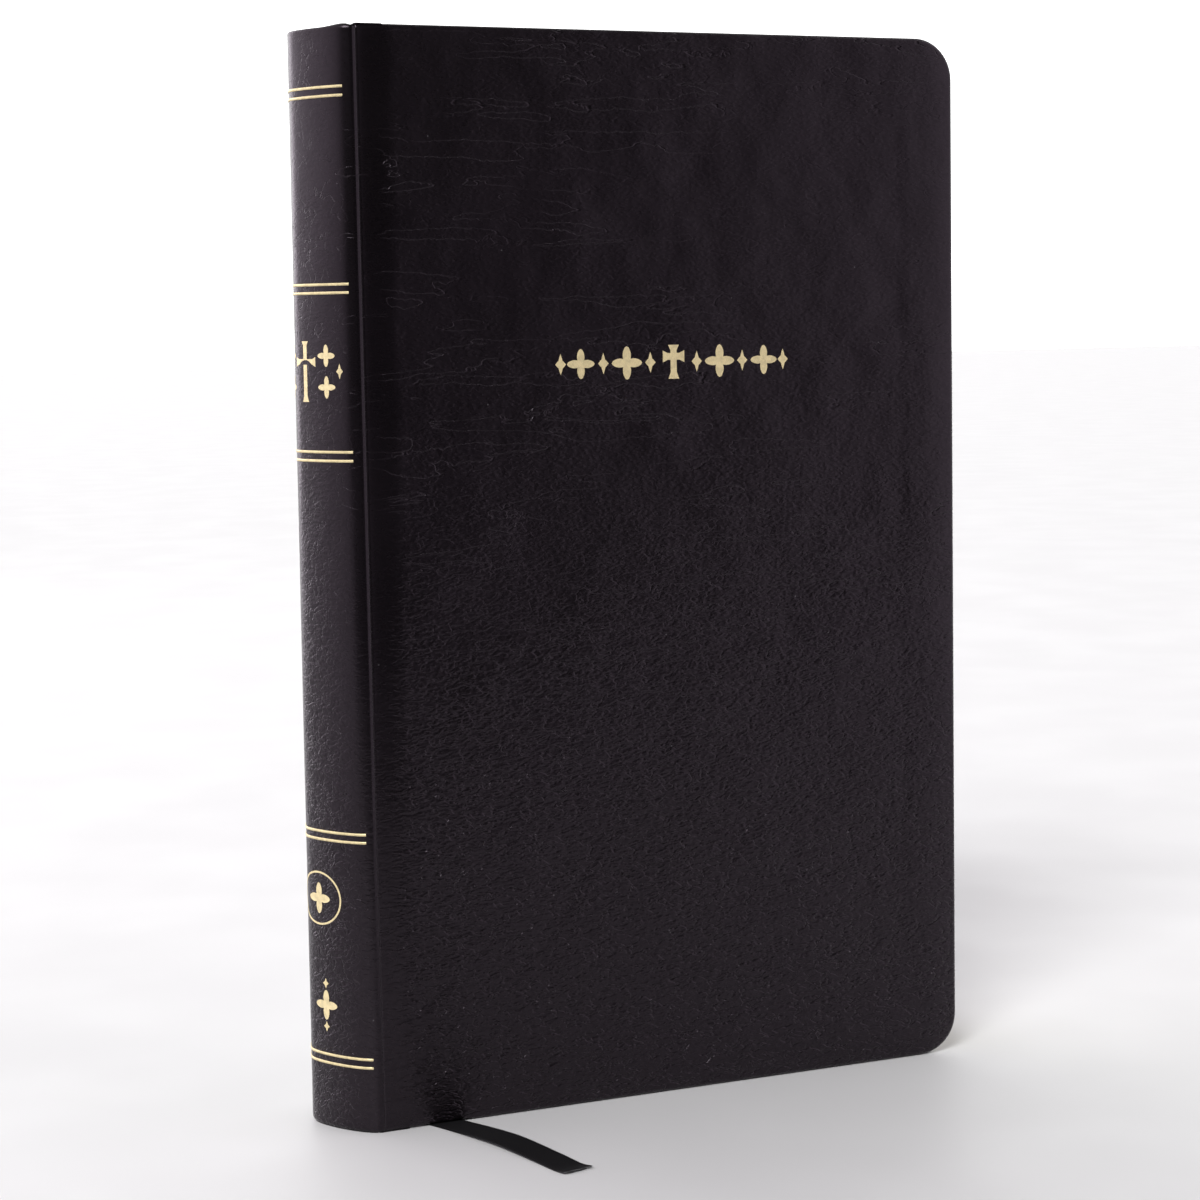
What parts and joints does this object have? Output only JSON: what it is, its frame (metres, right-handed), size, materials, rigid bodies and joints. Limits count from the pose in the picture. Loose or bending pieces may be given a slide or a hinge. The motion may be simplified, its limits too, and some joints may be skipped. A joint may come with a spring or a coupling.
{
  "type": "leather-bound reading bible",
  "caption": "Thick leather-bound book with a rounded spine, hinged covers, sewn page block that opens at a satin ribbon marker, and gold ruled spine.",
  "frame": {"origin": "centre of the closed book's box, on the plane of its bottom (tail) edges, the ribbon left out", "axes": "+Z from tail to head, +X from the spine to the fore-edge, +Y from the front cover to the back cover"},
  "size_m": [0.1465, 0.073, 0.228],
  "materials": {
    "leather": "black bonded leather, fine grain, semi-gloss",
    "board": "grey-brown book board",
    "endpaper": "cream endpaper, matt",
    "pages": "thin page paper with gilded edges",
    "card": "thin card, matt",
    "mull": "open starched cotton gauze",
    "thread": "linen sewing thread",
    "headband": "black and gold stitched band",
    "ribbon": "black satin"
  },
  "bodies": {
    "back_half": {"signature_13": "pages", "signature_14": "pages", "signature_15": "pages", "signature_16": "pages", "signature_17": "pages", "signature_18": "pages", "signature_19": "pages", "signature_20": "pages", "signature_21": "pages", "signature_22": "pages", "signature_23": "pages", "signature_24": "pages", "back_flyleaf": "endpaper", "spine_skin_back": "leather", "spine_inlay_back": "card", "spine_lining_back": "card", "mull_back": "mull", "head_band_back": "headband", "tail_band_back": "headband", "sewing_thread_back": "thread", "right_leaf": "pages", "ribbon_marker": "ribbon"},
    "front_half": {"signature_01": "pages", "signature_02": "pages", "signature_03": "pages", "signature_04": "pages", "signature_05": "pages", "signature_06": "pages", "signature_07": "pages", "signature_08": "pages", "signature_09": "pages", "signature_10": "pages", "signature_11": "pages", "signature_12": "pages", "front_flyleaf": "endpaper", "spine_skin_front": "leather", "spine_inlay_front": "card", "spine_lining_front": "card", "mull_front": "mull", "head_band_front": "headband", "tail_band_front": "headband", "sewing_thread_front": "thread"},
    "front_cover": {"front_cover_skin": "leather", "front_cover_board": "board", "front_pastedown": "endpaper"},
    "back_cover": {"back_cover_skin": "leather", "back_cover_board": "board", "back_pastedown": "endpaper"},
    "leaf_a": {"turned_leaf_a": "pages"},
    "leaf_b": {"turned_leaf_b": "pages"}
  },
  "joints": [
    {"name": "middle_opening", "type": "hinge", "parent": "back_half", "child": "front_half", "pos_m": [-0.0734, 0, 0.114], "axis": [0, 0, 1], "range_deg": [-178, 0], "deforming": ["ribbon_marker"]},
    {"name": "front_cover_hinge", "type": "hinge", "parent": "front_half", "child": "front_cover", "pos_m": [-0.06425, -0.0152, 0.114], "axis": [0, 0, 1], "range_deg": [-178, 0], "deforming": ["ribbon_marker"]},
    {"name": "back_cover_hinge", "type": "hinge", "parent": "back_half", "child": "back_cover", "pos_m": [-0.06425, 0.0173, 0.114], "axis": [0, 0, 1], "range_deg": [0, 178]},
    {"name": "leaf_a_turn", "type": "hinge", "parent": "back_half", "child": "leaf_a", "pos_m": [-0.0734, 0, 0.114], "axis": [0, 0, 1], "range_deg": [-165.54, 0]},
    {"name": "leaf_b_turn", "type": "hinge", "parent": "back_half", "child": "leaf_b", "pos_m": [-0.0734, 0, 0.114], "axis": [0, 0, 1], "range_deg": [-172.66, 0]}
  ],
  "couplings": [
    {"joint": "leaf_a_turn", "follows": "middle_opening", "ratio": 0.93},
    {"joint": "leaf_b_turn", "follows": "middle_opening", "ratio": 0.97}
  ]
}
